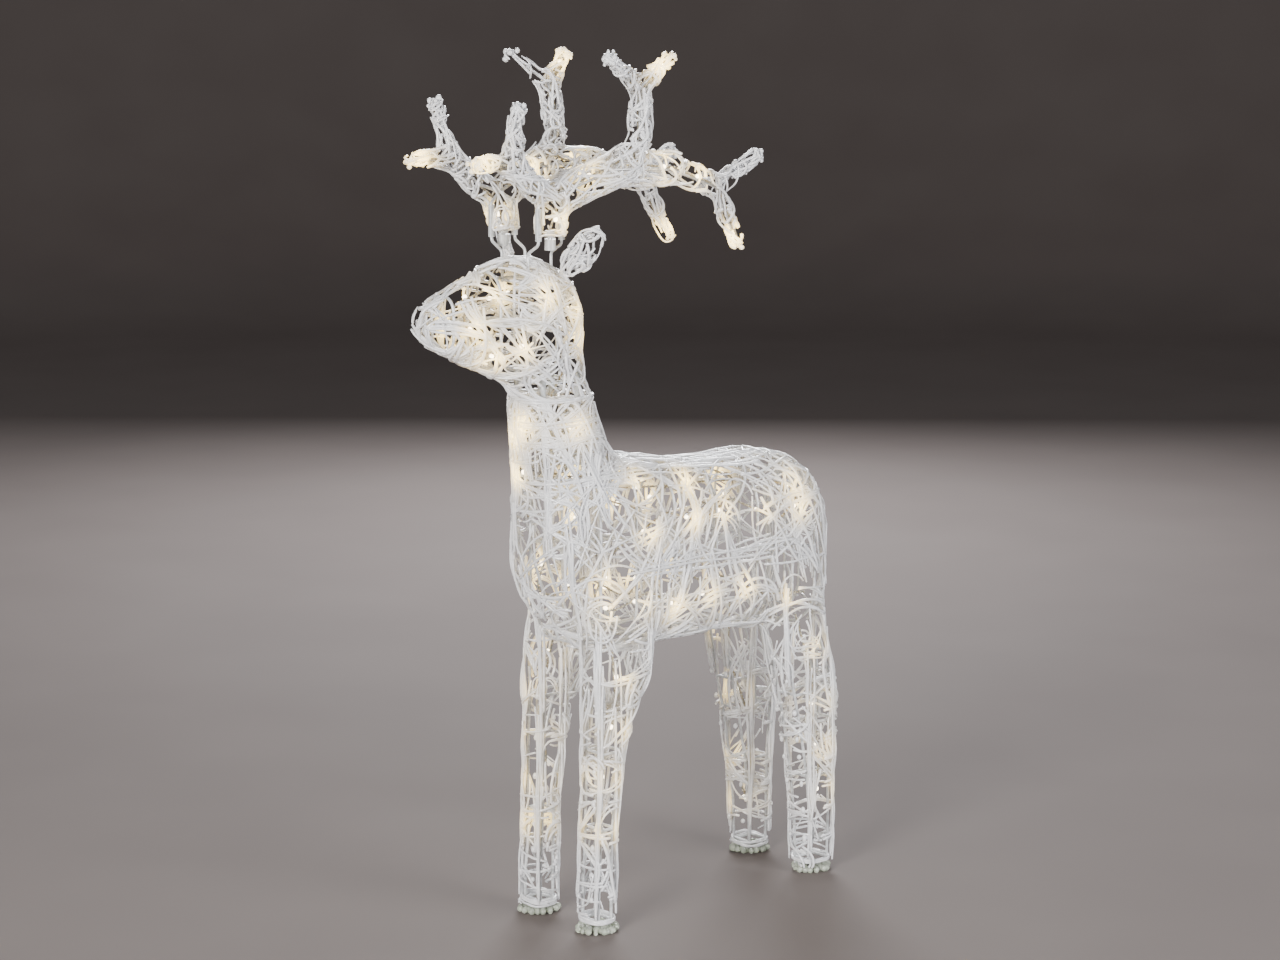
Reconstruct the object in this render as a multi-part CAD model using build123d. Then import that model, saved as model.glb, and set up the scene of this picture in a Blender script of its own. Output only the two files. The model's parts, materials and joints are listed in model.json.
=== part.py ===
from build123d import *
import math
import os

# Light up yard reindeer: wire frames wound with clear acrylic thread, lit from inside.
# Millimetres. The deer looks along -Y, its left side is +X, the lawn is Z = 0.

CENTRE_Y = 79.1         # moves "forward of mid wheelbase" onto a centred Y
WALL = 2.2              # thickness of one layer of fused thread
SEAM = 0.4              # free gap between two windings that meet
FRAME_R = 1.6           # frame wire radius
HOOP_R = 1.5            # hoop wire radius
PIN_R = 1.5             # plug-in pin radius
STAY_R = 1.2            # wire of the socket stay
BORE_R = 1.9            # bore of a plug-in tube
TUBE_R = 3.2            # outside of a plug-in tube
CABLE_R = 1.1           # twisted lamp cable radius
GLAND_HOLE = 4.6        # opening for the supply gland
LAMP_R = 2.2            # lamp radius
LAMP_BODY = 5.0         # lamp length
LAMP_CHAMFER = 0.6
INSET = 5.2             # frame wire axis behind the outside of the winding
LEG_INSET = 7.8         # the same in the legs, clear of their rounded corners
NECK_SEAM_Z = 556.0     # head lifts off here
LEG_SEAM_Z = 265.0      # leg winding meets torso winding here
FOOT_Z = 8.0            # top of the foot beads
DROP_R = 3.9            # acrylic drops under the feet
LAMP_GAP = 0.35         # lamp to cable
RAIL_SIDE = 11          # top and bottom rails from the centre plane
PLUG_FORWARD = 176      # cable plug in the neck
PLUG_HOLE = 9.4         # radius of the opening round it
PIN_SIDE = 20           # neck pins from the centre plane
PIN_FORWARD = (204, 158)
TUBE_L = 32             # plug-in tubes

# Torso barrel stations: forward, bottom z, top z, half width, corner radius
BARREL = [
    (204, 385, 474, 27, 25),
    (190, 335, 488, 48, 44),
    (158, 294, 496, 60, 50),
    (112, 287, 492, 63, 50),
    (60, 287, 481, 64, 50),
    (0, 285, 471, 64, 49),
    (-60, 283, 468, 64, 49),
    (-112, 276, 471, 65, 49),
    (-148, 272, 460, 63, 48),
    (-170, 280, 438, 54, 46),
    (-183, 305, 412, 34, 31),
]
# Neck on the torso: z, front, back, half width, corner radius (front and back are forward distances)
NECK = [
    (398, 193, 66, 54, 45),
    (447, 205, 80, 53, 45),
    (480, 210, 103, 49, 42),
    (509, 214, 122, 44, 38),
    (532, 217, 130, 40, 35),
    (NECK_SEAM_Z, 219, 135, 38, 34),
]
# Head block: forward, bottom z, top z, half width, corner radius
HEAD = [
    (344, 631, 655, 12, 10),
    (334, 619, 663, 18, 16),
    (314, 608, 671, 22, 19),
    (288, 596, 680, 26, 23),
    (262, 584, 692, 31, 28),
    (230, 572, 699, 36, 32),
    (196, 569, 697, 38, 34),
    (170, 577, 683, 35, 32),
    (154, 598, 660, 25, 23),
]
# Throat under the head: z, front, back, half width, corner radius
THROAT = [
    (NECK_SEAM_Z + SEAM, 220, 136, 38, 34),
    (574, 231, 142, 37, 33),
    (602, 236, 150, 36, 32),
    (632, 232, 162, 32, 29),
]
# Legs: z, middle forward, half length, half width, distance from the centre plane, corner radius
FRONT_LEG = [
    (FOOT_Z, 157, 18, 20, 46, 14),
    (60, 156, 17.5, 20, 46, 14),
    (110, 154, 17, 20, 46, 14),
    (190, 148, 21, 20, 46, 14),
    (235, 140, 29.5, 20, 46, 15),
    (LEG_SEAM_Z, 130, 40, 20, 46, 16),
    (330, 122, 46, 16, 41, 14),
]
BACK_LEG = [
    (FOOT_Z, -157, 22, 20, 48, 14),
    (50, -157, 23, 20, 48, 14),
    (110, -154, 26, 20, 48, 14),
    (170, -151, 34.5, 20, 48, 15),
    (205, -146, 38.5, 20, 48, 16),
    (LEG_SEAM_Z, -131, 38, 20, 47, 16),
    (330, -128, 42, 16, 41, 14),
]
SEAM_STATION = 5        # index of the leg station at the seam
LEG_HOOPS = (0, 2, 3, 4)        # leg stations that have a square hoop
HOOP_STEP = 1.2         # the wires of a square hoop lie this far one above the other

# Antler skeleton, left side: forward, distance from the centre plane, z
STEM_FOOT = (207, 36, 722)
STEM_TOP = (207, 41, 757)
FRONT_ROOT = (232, 43, 768)
FRONT_NODE = (263, 46, 794)
FRONT_UP = (270, 62, 846)
FRONT_OUT = (311, 50, 796)
BEAM_MID = (140, 56, 783)
BEAM_BACK = (70, 62, 781)
TOP_ROOT = (113, 64, 812)
TOP_NODE = (117, 69, 864)
TOP_FRONT = (161, 75, 892)
TOP_BACK = (89, 79, 891)
REAR_ROOT = (0, 55, 760)
REAR_UP = (-47, 64, 789)
REAR_DOWN = (-33, 52, 701)
POST_FORWARD = (222, 192)     # two upright posts carry each antler
POST_SIDE = 36
POST_IN = 20                  # where the posts leave the head, from the centre plane

FEET = {
    "front_left": (157, 46, 1), "front_right": (157, 46, -1),
    "back_left": (-157, 48, 1), "back_right": (-157, 48, -1),
}


def at(forward, left, up):
    return Vector(left, CENTRE_Y - forward, up)


# ---------------------------------------------------------------- solids of the windings

def flat_section(z, front, back, half, radius, inset=0.0, middle=0.0):
    """Horizontal rounded section between a front and a back distance."""
    length = front - back - 2 * inset
    width = 2 * (half - inset)
    radius = max(1.5, min(radius - inset, width / 2 - 0.6, length / 2 - 0.6))
    place = Pos(middle, CENTRE_Y - (front + back) / 2, z)
    return place * RectangleRounded(width, length, radius)


def upright_section(forward, low, high, half, radius, inset=0.0):
    """Rounded section across the body at one forward distance."""
    width, tall = 2 * (half - inset), high - low - 2 * inset
    radius = max(1.5, min(radius - inset, width / 2 - 0.6, tall / 2 - 0.6))
    plane = Plane(origin=at(forward, 0, (low + high) / 2), x_dir=(1, 0, 0), z_dir=(0, -1, 0))
    return plane * RectangleRounded(width, tall, radius)


def along_body(stations, inset=0.0):
    rows = [list(s) for s in stations]
    rows[0][0] -= inset * 1.3
    rows[-1][0] += inset * 1.3
    return loft([upright_section(*row, inset=inset) for row in rows], ruled=True)


def upward(stations, inset=0.0, low=0.0, high=0.0, middle=0.0):
    """Loft of horizontal sections; low and high move the two end sections."""
    rows = [list(s) for s in stations]
    rows[0][0] += low
    rows[-1][0] += high
    return loft([flat_section(*row, inset=inset, middle=middle) for row in rows], ruled=True)


def leg_rows(stations, side):
    return [
        (z, mid + a, mid - a, b, r, side * off) for z, mid, a, b, off, r in stations
    ]


def leg_loft(stations, side, inset=0.0, low=0.0, high=0.0):
    rows = leg_rows(stations, side)
    first, last = list(rows[0]), list(rows[-1])
    first[0] += low
    last[0] += high
    rows = [first, *rows[1:-1], last]
    return loft([
        flat_section(z, front, back, b, r, inset=inset, middle=mid)
        for z, front, back, b, r, mid in rows
    ], ruled=True)


def both_sides(shape):
    return [shape, mirror(shape, about=Plane.YZ)]


def one(shape):
    """The single solid of a fused shape."""
    solids = list(shape.solids())
    return solids[0] if len(solids) == 1 else Compound(children=solids)


# ---------------------------------------------------------------- wires and cables

def bend_radii(points, most=14.0):
    """Largest arc each corner can take, 0.45 of its shorter run."""
    radii = []
    for a, b, c in zip(points, points[1:], points[2:]):
        before, after = (b - a), (c - b)
        turn = math.radians(before.get_angle(after))
        reach = 0.45 * min(before.length, after.length)
        radii.append(round(min(most, reach / math.tan(turn / 2)), 2))
    return radii


def turning_points(points):
    """Leave out any point that lies in line with its neighbours."""
    kept = [Vector(points[0])]
    for here, after in zip(points[1:], points[2:]):
        if (Vector(here) - kept[-1]).get_angle(Vector(after) - Vector(here)) > 0.4:
            kept.append(Vector(here))
    return kept + [Vector(points[-1])]


def route_path(points, most=14.0):
    """Straight runs joined by tangent arcs."""
    points = turning_points(points)
    if len(points) == 2:
        return Line(points[0], points[1])
    return FilletPolyline(*points, radius=bend_radii(points, most))


def bent(points, radius, most=14.0):
    """A round rod through the points."""
    points = turning_points(points)
    start = Plane(origin=points[0], z_dir=points[1] - points[0])
    return one(sweep(start * Circle(radius), path=route_path(points, most)))


def cable(name, points, most=14.0):
    """A lamp cable; prints its arcs, its length and its volume over section times length."""
    body = bent(points, CABLE_R, most)
    length = route_path(points, most).length
    share = body.volume / (math.pi * CABLE_R ** 2 * length)
    print(name, "length", round(length), "share", round(share, 3))
    print("  arc radii", bend_radii(turning_points(points), most))
    return body


def hoop_upright(forward, low, high, half, radius):
    """Closed wire hoop across the body, behind the winding."""
    plane = Plane(origin=at(forward, 0, (low + high) / 2), x_dir=(1, 0, 0), z_dir=(0, -1, 0))
    width, tall = 2 * (half - INSET), high - low - 2 * INSET
    radius = min(radius - INSET, width / 2 - 1, tall / 2 - 1)
    face = plane * RectangleRounded(width, tall, radius)
    return ring_along(face)


def hoop_flat(z, front, back, half, radius, middle=0.0):
    face = flat_section(z, front, back, half, radius, inset=INSET, middle=middle)
    return ring_along(face)


def ring_along(face):
    path = face.face().outer_wire()
    start = Plane(origin=path @ 0, z_dir=path % 0)
    return one(sweep(start * Circle(HOOP_R), path=path))


def fuse(parts):
    first, *rest = parts
    return one(first.fuse(*rest)) if rest else first


def lamp(point, along):
    """One dipped lamp lying beside its cable."""
    along = Vector(along).normalized()
    body = chamfer(Cylinder(LAMP_R, LAMP_BODY).edges(), LAMP_CHAMFER)
    return Plane(origin=point, z_dir=along) * body


def lamps_on(points, outward, which):
    """Lamps beside the runs that start at the chosen points, pushed to the outward side."""
    out = []
    for i in which:
        a, b = Vector(points[i]), Vector(points[i + 1])
        run = (b - a).normalized()
        side = Vector(outward(a)) - run * run.dot(Vector(outward(a)))
        side = side.normalized() * (CABLE_R + LAMP_R + LAMP_GAP)
        out.append(lamp(a + (b - a) * 0.5 + side, run))
    return out


def group(items):
    return Compound(children=list(items))


# ---------------------------------------------------------------- torso

def torso_winding():
    outer = [along_body(BARREL), upward(NECK)]
    inner = [along_body(BARREL, WALL), upward(NECK, WALL, high=-WALL)]
    for legs in (FRONT_LEG, BACK_LEG):
        stub = legs[SEAM_STATION:]
        for side in (1, -1):
            outer.append(leg_loft(stub, side))
            inner.append(leg_loft(stub, side, WALL, low=-1.0, high=-4.0))
    skin = outer[0].fuse(*outer[1:]) - inner[0].fuse(*inner[1:])
    # frame pins and the head cable plug pass through the top of the neck
    for x, y in neck_pins():
        skin -= Pos(x, y, NECK_SEAM_Z) * Cylinder(TUBE_R + 0.4, 12)
    skin -= Pos(0, CENTRE_Y - PLUG_FORWARD, NECK_SEAM_Z) * Cylinder(PLUG_HOLE, 12)
    return one(skin)


def neck_pins():
    """The four corners of the neck hoop that carry the head."""
    return [(side * PIN_SIDE, CENTRE_Y - f) for side in (1, -1) for f in PIN_FORWARD]


FRAME_STATIONS = [2, 3, 4, 5, 6, 7, 8]      # barrel stations that have a wire hoop


def torso_frame():
    rods = [hoop_upright(*BARREL[i]) for i in FRAME_STATIONS]
    rows = [BARREL[i] for i in FRAME_STATIONS]
    for side in (1, -1):
        top = [at(f, side * RAIL_SIDE, high - INSET) for f, _, high, _, _ in rows]
        low_rail = [at(f, side * RAIL_SIDE, low + INSET) for f, low, _, _, _ in rows]
        flank = [at(f, side * (half - INSET), (low + high) / 2) for f, low, high, half, _ in rows]
        rods += [bent(top, FRAME_R, 40), bent(low_rail, FRAME_R, 40), bent(flank, FRAME_R, 40)]
    # breast and rump wires close the two ends of the barrel
    breast = [at(158, RAIL_SIDE, 490.8), at(193, RAIL_SIDE, 462), at(196, RAIL_SIDE, 400),
              at(158, RAIL_SIDE, 299.2)]
    rump = [at(-148, RAIL_SIDE, 454.8), at(-172, RAIL_SIDE, 415), at(-172, RAIL_SIDE, 312),
            at(-148, RAIL_SIDE, 277.2)]
    for path in (breast, rump):
        rods += both_sides(bent(path, FRAME_R, 18))
        for end in (path[0], path[-1]):
            rods += both_sides(Pos(*end) * Sphere(FRAME_R * 1.12))
    # neck: two hoops and the four pins that carry the head
    collar_z = 475.3        # crosses the shoulder hoop of the barrel
    rods.append(hoop_flat(collar_z, 210, 103, 49, 42))
    for side in (1, -1):
        stub = [at(108.5, side * RAIL_SIDE, collar_z - 2), at(108.5, side * RAIL_SIDE, 487)]
        rods.append(bent(stub, FRAME_R))
    rods.append(hoop_flat(541, 217.5, 132, 39, 34.5))
    for side in (1, -1):
        for f, hoop_f, low_f in ((204, 207.9, 199.5), (158, 141.6, 113.5)):
            mid_f = 134 if low_f < 150 else 204.5
            rods.append(bent([at(low_f, side * 26, collar_z), at(mid_f, side * 23, 508),
                              at(hoop_f, side * 20, 541)], FRAME_R))
            rods.append(bent([at(hoop_f, side * 20, 541), at(f, side * 20, 541)], PIN_R))
            tall = NECK_SEAM_Z + 22 - 539
            rods.append(Pos(side * PIN_SIDE, CENTRE_Y - f, 539 + tall / 2) * Rot(0, 0, 50) * Cylinder(PIN_R, tall))
    return fuse(rods)


def half_width(forward, z):
    """Half width of the barrel at one height, straight between its stations."""
    rows = BARREL
    for a, b in zip(rows, rows[1:]):
        if b[0] <= forward <= a[0]:
            t = (a[0] - forward) / (a[0] - b[0])
            low, high, half, radius = (a[i] + (b[i] - a[i]) * t for i in (1, 2, 3, 4))
            break
    near = min(z - low, high - z)
    if near >= radius:
        return half
    return half - radius + math.sqrt(max(0.0, radius ** 2 - (radius - near) ** 2))


def torso_route(side):
    """Lamp cable along one flank: it wanders from lamp to lamp behind the winding."""
    spots = [
        (-142, 315), (-79, 322), (-3, 356), (30, 317), (87, 349), (131, 335), (163, 345),
        (132, 398), (63, 429), (13, 412), (-29, 432), (-100, 400), (-140, 425), (-84, 446),
        (0, 452), (72, 456), (140, 462), (178, 440),
    ]
    return [at(f, side * (half_width(f, z) - 14), z) for f, z in spots]


def neck_route():
    """Lamp cable round the neck, ending at the neck socket."""
    return [
        at(190, -20, 430), at(196, -14, 455), at(196, -15, 500), at(203, -10, 530), at(203, 14, 530),
        at(192, 26, 528), at(160, 22, 524), at(152, 5, 505), at(158, 3, 476), at(176, 0, 474),
        at(176, 0, 488.6),
    ]


def sideways(point):
    return (1 if point.X > 0 else -1, 0, 0)


def torso_lamps():
    out = []
    for side in (1, -1):
        out += lamps_on(torso_route(side), sideways, [0, 1, 2, 3, 4, 5, 6, 7, 8, 9, 10, 11, 12, 14, 15])
    out += lamps_on(neck_route(), lambda p: (p.X, p.Y - CENTRE_Y + PLUG_FORWARD, 0), [1, 2, 3, 5])
    return group(out)


def neck_socket():
    body = Cylinder(6, 16) - Pos(0, 0, 5) * (Pos(2.2, 0, 0) * Cylinder(1.3, 10))
    body -= Pos(-2.2, 0, 5) * Cylinder(1.3, 10)
    return Pos(0, CENTRE_Y - PLUG_FORWARD, 497) * body


def neck_socket_bracket():
    """Wire stay that holds the socket to the upper neck hoop."""
    collar = Cylinder(8.4, 5) - Cylinder(6.0, 5)
    collar = Pos(0, CENTRE_Y - PLUG_FORWARD, 492) * collar
    arm = bent([at(PLUG_FORWARD, 7.6, 492), at(PLUG_FORWARD, 22, 500), at(PLUG_FORWARD, 29, 520)], STAY_R, 8)
    return fuse([collar, *both_sides(arm)])


# ---------------------------------------------------------------- legs and feet

def leg_winding(stations, side):
    rows = stations[:SEAM_STATION + 1]
    outer = leg_loft(rows, side, high=-SEAM)
    inner = leg_loft(rows, side, WALL, low=WALL, high=1.0)
    return one(outer - inner)


def leg_frame(stations, side):
    """Four uprights and four square hoops behind the winding of one leg."""
    rods = []
    rows = [list(row) for row in stations[:SEAM_STATION + 1]]
    rows[0][0] = FOOT_Z + WALL + 2.4
    rows[-1][0] = LEG_SEAM_Z - 3
    for dx in (1, -1):
        for dy in (1, -1):
            points = []
            for z, mid, a, b, off, _ in rows:
                points.append(at(mid + dy * (a - leg_inset(z)), side * off + dx * (b - LEG_INSET), z))
            rods.append(bent(points, FRAME_R, 60))
    for index in LEG_HOOPS:
        rods += square_hoop(rows[index], side)
    return fuse(rods)


def leg_inset(z):
    """The uprights lean in where the thigh flares."""
    return LEG_INSET + (1.5 if z < 230 else 4.5)


def square_hoop(row, side):
    """Four straight wires between the uprights of a leg."""
    z, mid, a, b, off, _ = row
    wide, deep = b - LEG_INSET, a - leg_inset(z)
    rods = []
    for s in (1, -1):
        rods.append(Pos(side * off + s * wide, CENTRE_Y - mid, z) * Rot(90, 0, 0)
                    * Cylinder(HOOP_R, 2 * deep))
        rods.append(Pos(side * off, CENTRE_Y - mid + s * deep, z + HOOP_STEP) * Rot(0, 90, 0)
                    * Cylinder(HOOP_R, 2 * wide))
    return rods


def leg_route(name):
    if name == "front_left":
        return [at(135, 46, 292), at(134, 50, 240), at(147, 43, 190), at(158, 49, 137), at(152, 44, 88)]
    if name == "front_right":
        return [at(135, -46, 292), at(146, -44, 262), at(153, -49, 218), at(148, -43, 165),
                at(158, -48, 119), at(153, -44, 76)]
    if name == "back_left":
        return [at(-131, 46, 292), at(-155, 51, 216), at(-149, 45, 165), at(-165, 51, 117),
                at(-157, 46, 66)]
    return [at(-122, -46, 292), at(-124, -51, 231), at(-156, -46, 148), at(-147, -51, 75),
            at(-158, -46, 48)]


def leg_lamps(name):
    route = leg_route(name)
    return group(lamps_on(route, sideways, range(len(route) - 1)))


def foot_beads(name):
    """Ring of fused acrylic drops the deer stands on."""
    forward, off, side = FEET[name]
    ring = Pos(0, 0, 3.4) * (Cylinder(20.5, 6.8) - Cylinder(11.5, 6.8))
    drops = [
        Pos(17.5 * math.cos(a), 18.0 * math.sin(a), DROP_R) * Sphere(DROP_R)
        for a in (math.radians(18 + 36 * i) for i in range(10))
    ]
    return Pos(side * off, CENTRE_Y - forward, 0) * fuse([ring, *drops])


def supply_gland():
    """Rubber gland at the back of the left hind foot, where the low voltage lead leaves."""
    gland = Cylinder(4.2, 9) + Pos(0, 0, 5.25) * Cylinder(5.6, 1.5)
    return one(gland_plane() * gland)


def gland_plane():
    return Plane(origin=at(-177.5, 48, 34), z_dir=(0, 1, 0))


# ---------------------------------------------------------------- head

def head_winding():
    outer = along_body(HEAD).fuse(upward(THROAT))
    inner = along_body(HEAD, WALL).fuse(upward(THROAT, WALL, low=WALL))
    skin = outer - inner
    for x, y in neck_pins():
        skin -= Pos(x, y, NECK_SEAM_Z) * Cylinder(TUBE_R + 0.4, 12)
    skin -= Pos(0, CENTRE_Y - PLUG_FORWARD, NECK_SEAM_Z) * Cylinder(PLUG_HOLE, 12)
    for side in (1, -1):
        for f in POST_FORWARD:
            skin -= Pos(side * POST_IN, CENTRE_Y - f, 690) * Cylinder(PIN_R + 0.4, 40)
    return one(skin)


def head_frame():
    rods = [hoop_upright(*HEAD[i]) for i in (2, 4, 6)]
    rows = [HEAD[i] for i in (1, 2, 3, 4, 5, 6, 7)]
    for side in (1, -1):
        rods.append(bent([at(f, side * (half - INSET), (low + high) / 2) for f, low, high, half, _ in rows],
                         FRAME_R, 30))
    rods.append(bent([at(f, 0, high - INSET) for f, _, high, _, _ in rows], FRAME_R, 30))
    rods.append(bent([at(f, 0, low + INSET) for f, low, _, _, _ in rows[:4]], FRAME_R, 30))
    # nose bow joins the four rails
    rods.append(bent([at(334, 0, 657.8), at(338, 0, 650), at(338, 0, 634), at(314, 0, 613.2)], FRAME_R, 5))
    # antler posts stand on the top hoop and cross rails
    for side in (1, -1):
        for f in POST_FORWARD:
            rods.append(bent([at(f, side * POST_IN, 672), at(f, side * POST_IN, 703),
                              at(f, side * POST_SIDE, 712), at(f, side * POST_SIDE, 736)], PIN_R, 6))
        rods.append(bent([at(228, side * POST_IN, 676), at(186, side * POST_IN, 676)], FRAME_R))
    for f in POST_FORWARD:
        rods.append(bent([at(f, -POST_IN, 674), at(f, POST_IN, 674)], FRAME_R))
        rods.append(bent([at(f, 0, 673), at(f, 0, 690)], FRAME_R))
    return fuse(rods)


def neck_tubes():
    """Four tubes that slip over the neck pins, joined by a wire square."""
    tubes = [Pos(x, y, NECK_SEAM_Z + 12) * Cylinder(TUBE_R, TUBE_L) for x, y in neck_pins()]
    level = NECK_SEAM_Z + 16
    corners = [at(204, 20, level), at(204, -20, level), at(158, -20, level), at(158, 20, level)]
    for a, b in zip(corners, corners[1:] + corners[:1]):
        tubes.append(bent([a, b], FRAME_R))
    body = fuse(tubes)
    for x, y in neck_pins():
        body -= Pos(x, y, NECK_SEAM_Z + 9) * Cylinder(BORE_R, 30)
    return one(body)


def neck_plug():
    body = Pos(0, 0, 8) * Cylinder(5.4, 14)
    for dx in (2.2, -2.2):
        body += Pos(dx, 0, -1.5) * Cylinder(0.9, 8)
    return one(Pos(0, CENTRE_Y - PLUG_FORWARD, 505.5) * body)


def head_route():
    return [
        at(176, 0, 520.9), at(176, 0, 556), at(162, 12, 592), at(166, 15, 640), at(184, 24, 652),
        at(240, 23, 668), at(300, 9, 654), at(285, 13, 612), at(250, 20, 603), at(222, 24, 626),
        at(222, -24, 628), at(252, -20, 605), at(288, -13, 614), at(300, -9, 652), at(240, -23, 666),
        at(180, -22, 650),
    ]


def head_lamps():
    def away(p):
        return (p.X if abs(p.X) > 4 else 5.0, 0, (p.Z - 636) * 0.4)
    return group(lamps_on(head_route(), away, [2, 3, 4, 5, 6, 7, 8, 10, 11, 12, 13, 14]))


def ear_parts():
    """Left ear: a wire leaf and the thread wound on it."""
    base, tip = at(194, 41, 681), at(179, 77, 727)
    along = (tip - base).normalized()
    face = Vector(0.62, -0.62, -0.30)
    face = (face - along * face.dot(along)).normalized()
    plane = Plane(origin=(base + tip) * 0.5, x_dir=along, z_dir=face)
    leaf = [(-27, 0), (-9, 10), (11, 9), (26, 1), (11, -9), (-9, -10)]
    frame = bent_loop(plane, leaf, 1.2)
    size = (tip - base).length
    sections = []
    for t, w, h in ((-0.49, 6, 5), (-0.3, 11.5, 6), (0, 15.5, 6.6), (0.28, 13.5, 6.2), (0.49, 6, 4.8)):
        at_t = Plane(origin=(base + tip) * 0.5 + along * (t * size * 1.06), x_dir=plane.y_dir, z_dir=along)
        sections.append(at_t * Ellipse(w, h))
    outer = loft(sections)
    small = []
    for t, w, h in ((-0.46, 4.4, 3.2), (-0.3, 9.5, 4), (0, 13.5, 4.6), (0.28, 11.5, 4.2), (0.46, 4.4, 3)):
        at_t = Plane(origin=(base + tip) * 0.5 + along * (t * size * 1.06), x_dir=plane.y_dir, z_dir=along)
        small.append(at_t * Ellipse(w, h))
    inner = loft(small)
    return frame, one(outer - inner)


def bent_loop(plane, points, radius):
    flat = [plane.from_local_coords(Vector(x * 0.86, y * 0.86, 0)) for x, y in points]
    mids = [(a + b) * 0.5 for a, b in zip(flat, flat[1:] + flat[:1])]
    ring = [mids[-1]]
    for p, m in zip(flat, mids):
        ring += [p, m]
    rods = [bent([ring[i], ring[i + 1], ring[i + 2]], radius, 9) for i in range(0, len(ring) - 1, 2)]
    balls = [Pos(*m) * Sphere(radius) for m in mids]
    return fuse(rods + balls)


# ---------------------------------------------------------------- antlers

def limb(p, q, r1, r2):
    """Tapered limb with a rounded far end."""
    p, q = at(*p), at(*q)
    run = q - p
    plane = Plane(origin=p, z_dir=run)
    if abs(r1 - r2) < 0.05:
        body = plane * (Pos(0, 0, run.length / 2) * Cylinder(r1, run.length))
    else:
        body = plane * (Pos(0, 0, run.length / 2) * Cone(r1, r2, run.length))
    return body.fuse(Pos(*q) * Sphere(r2 * 1.03))


ANTLER_LIMBS = [
    (STEM_FOOT, STEM_TOP, 16, 17),
    (STEM_TOP, BEAM_MID, 17, 19),
    (BEAM_MID, BEAM_BACK, 19, 18),
    (BEAM_BACK, REAR_ROOT, 18, 12),
    (REAR_ROOT, REAR_UP, 11, 8.0),
    (REAR_ROOT, REAR_DOWN, 11, 8.0),
    (STEM_TOP, FRONT_ROOT, 16.4, 14),
    (FRONT_ROOT, FRONT_NODE, 14, 11),
    (FRONT_NODE, FRONT_UP, 11, 8.0),
    (FRONT_NODE, FRONT_OUT, 11, 8.0),
    (BEAM_MID, TOP_ROOT, 15, 12),
    (TOP_ROOT, TOP_NODE, 12, 11),
    (TOP_NODE, TOP_FRONT, 11, 8.0),
    (TOP_NODE, TOP_BACK, 11, 8.0),
]


def antler_winding():
    outer = [limb(p, q, r1, r2) for p, q, r1, r2 in ANTLER_LIMBS]
    inner = [limb(p, q, r1 - WALL, r2 - WALL) for p, q, r1, r2 in ANTLER_LIMBS]
    whole = fuse(outer)
    hollow = fuse(inner)
    # the foot is closed by crossing threads; only the tubes pass
    floor = Pos(POST_SIDE, CENTRE_Y - 207, 722 - 20 + WALL) * Box(60, 60, 40)
    skin = whole - (hollow - floor)
    skin -= Pos(POST_SIDE, CENTRE_Y - 207, 722 - 25) * Box(70, 70, 50)
    for f in POST_FORWARD:
        skin -= Pos(POST_SIDE, CENTRE_Y - f, 730) * Cylinder(TUBE_R + 0.4, 44)
    skin -= Pos(POST_SIDE, CENTRE_Y - 207, 722) * Cylinder(6.2, 10)
    return one(skin)


def antler_sleeves():
    tubes = []
    for f in POST_FORWARD:
        tube = Cylinder(TUBE_R, TUBE_L) - Cylinder(BORE_R, TUBE_L)
        tubes.append(Pos(POST_SIDE, CENTRE_Y - f, 732) * tube)
    return group(tubes)


def shorten(p, q, by):
    """A point on the run from p to q, short of q."""
    a, b = at(*p), at(*q)
    return a + (b - a) * (1 - by / (b - a).length)


def antler_frame():
    """One wire per limb, welded where they meet, standing in two sleeves."""
    rods = []
    for f in POST_FORWARD:
        foot = at(f, POST_SIDE, 739)
        rods.append(bent([foot, at(f, POST_SIDE, 750), at(207, 41, 760)], PIN_R, 4))
    rods.append(bent([at(*STEM_TOP) + Vector(0, 0, 3), at(*BEAM_MID), at(*BEAM_BACK), at(*REAR_ROOT)],
                     FRAME_R, 30))
    rods.append(bent([at(*REAR_ROOT), shorten(REAR_ROOT, REAR_UP, 7)], FRAME_R))
    rods.append(bent([at(*REAR_ROOT), shorten(REAR_ROOT, REAR_DOWN, 15)], FRAME_R))
    rods.append(bent([at(*STEM_TOP) + Vector(0, 0, 3), at(*FRONT_ROOT), at(*FRONT_NODE),
                      shorten(FRONT_NODE, FRONT_UP, 7)], FRAME_R, 6))
    rods.append(bent([at(*FRONT_NODE), shorten(FRONT_NODE, FRONT_OUT, 15)], FRAME_R))
    rods.append(bent([at(*BEAM_MID), at(*TOP_ROOT), at(*TOP_NODE), shorten(TOP_NODE, TOP_FRONT, 7)],
                     FRAME_R, 10))
    rods.append(bent([at(*TOP_NODE), shorten(TOP_NODE, TOP_BACK, 15)], FRAME_R))
    balls = [Pos(*at(*p)) * Sphere(FRAME_R * 1.25) for p in (REAR_ROOT, FRONT_NODE, TOP_NODE, BEAM_MID)]
    balls.append(Pos(*(at(*STEM_TOP) + Vector(0, 0, 3))) * Sphere(FRAME_R * 1.5))
    return fuse(rods + balls)


def antler_route():
    """Lamp cable of the left antler: foot, front fork, beam, top fork, rear fork."""
    s = 3.8
    return [
        at(207, 36, 727), at(206, 45, 750), at(233, 43 + s, 770), at(262, 46 + s, 792),
        at(308, 50 + 3.6, 796), at(308, 50 - 3.6, 796), at(263, 46 - s, 796), at(233, 43 - s, 773),
        at(192, 44 - s, 766), at(134, 57.5 - s, 790), at(112, 64 - s, 814), at(118, 69 - s, 862),
        at(91, 78.3 - 3.6, 889), at(91, 78.3 + 3.6, 889), at(116, 69 + s, 861), at(111, 64 + s, 812),
        at(127, 60 + s, 796), at(101, 60 + s, 786), at(68, 62 + s, 783), at(4, 55.4 + s, 762),
        at(-8, 54.3 + s, 746), at(-29, 52.3 + s, 708),
    ]


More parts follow.
